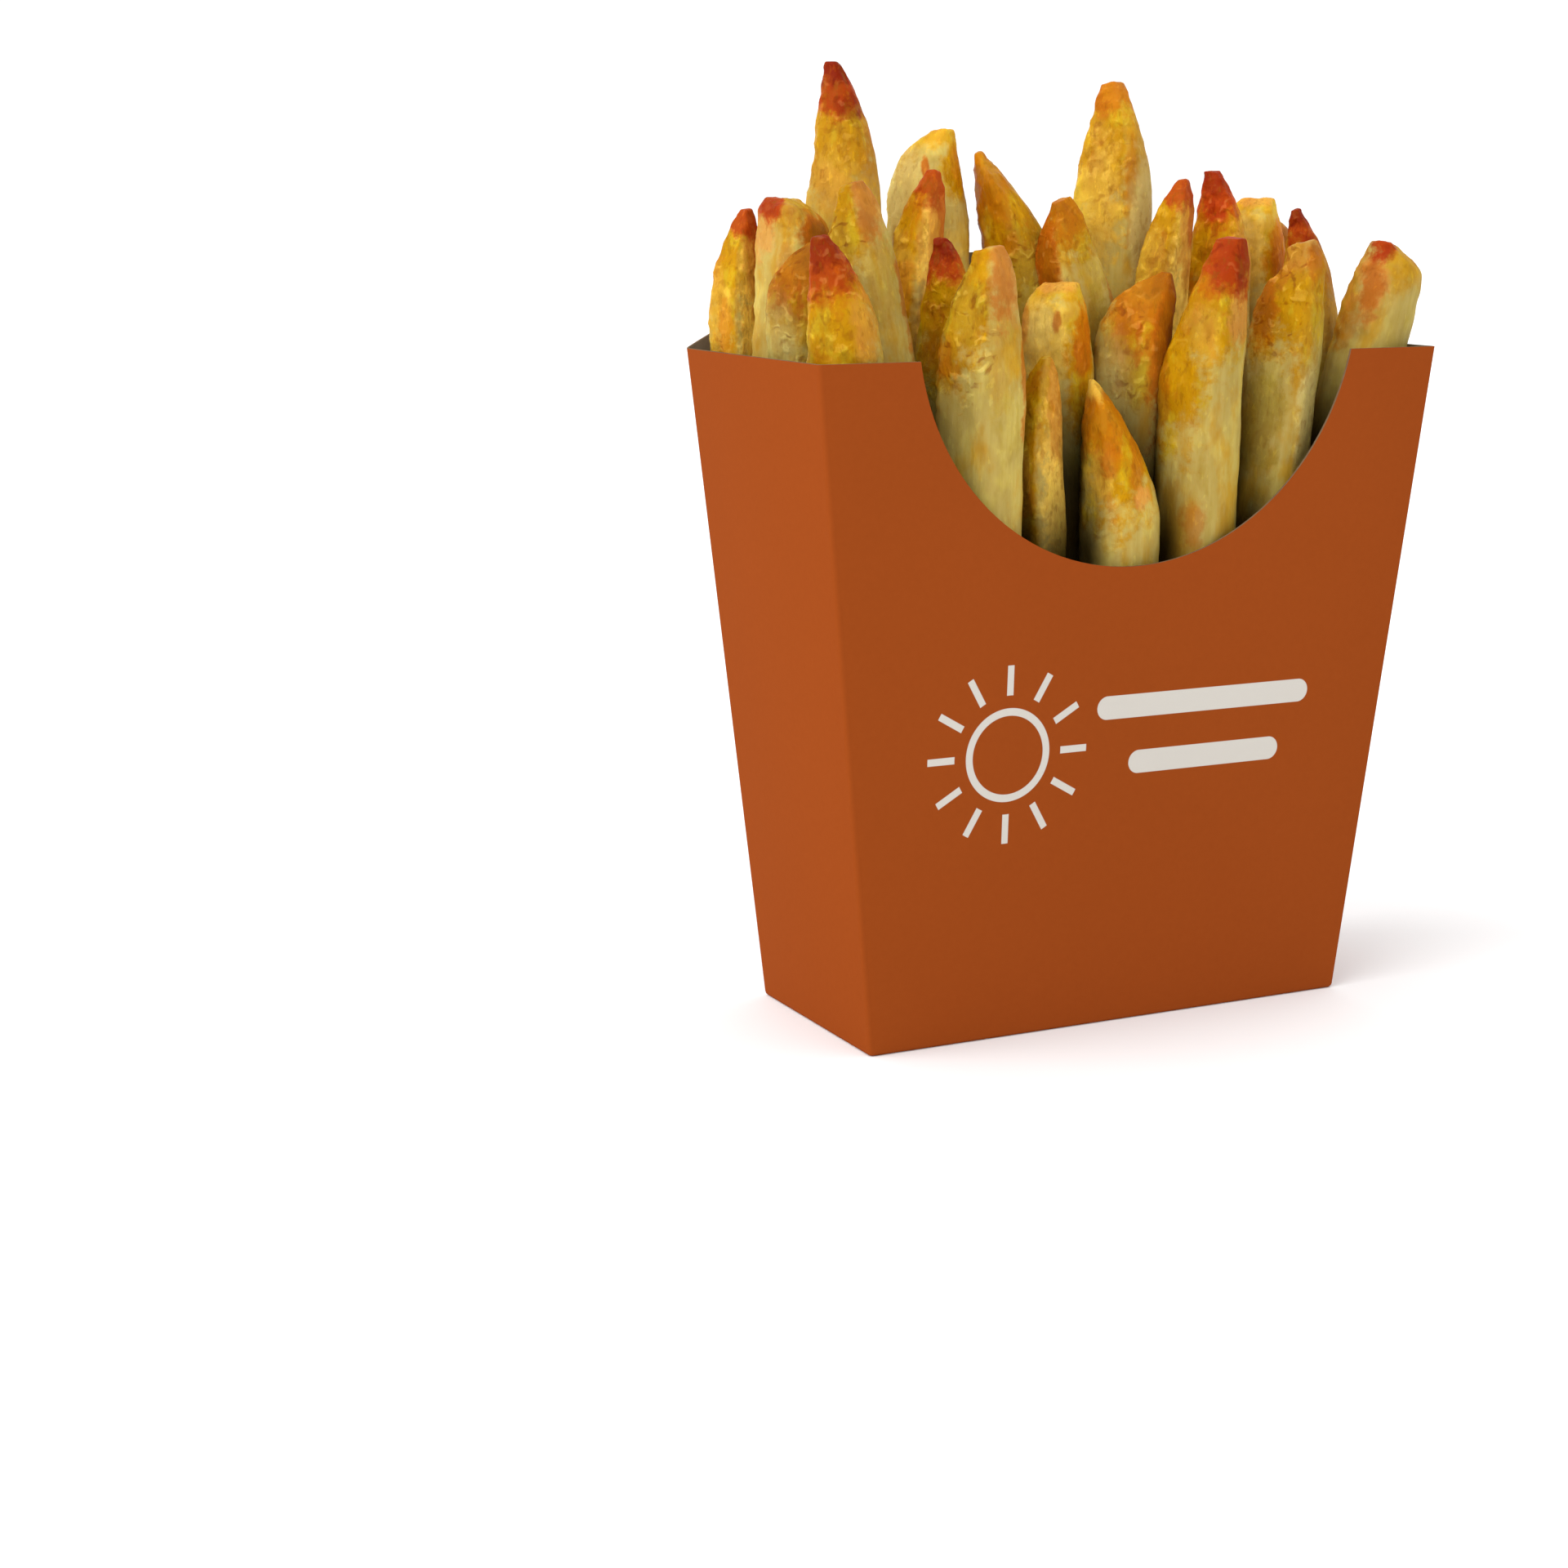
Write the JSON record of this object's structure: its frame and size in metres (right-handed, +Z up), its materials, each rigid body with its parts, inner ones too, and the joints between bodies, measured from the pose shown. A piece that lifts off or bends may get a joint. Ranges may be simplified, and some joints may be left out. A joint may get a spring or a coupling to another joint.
{
  "type": "french fries in a carton",
  "caption": "Tapered folded-board takeaway carton with a scooped front and an arched back panel, filled with thick-cut french fries that stand well above its rim.",
  "frame": {"origin": "centre of the carton's flat base, on the surface it stands on", "axes": "+Z up, -Y out of the scooped front panel, +X along the width of the front panel"},
  "size_m": [0.1316, 0.0557, 0.1764],
  "materials": {
    "board": "rust-brown printed outside, light grey inside, matt",
    "fried_potato": "golden fried crust with pale flanks and browned tips, slightly oily"
  },
  "bodies": {
    "root": {"carton": "board", "fries": "fried_potato"}
  },
  "joints": []
}
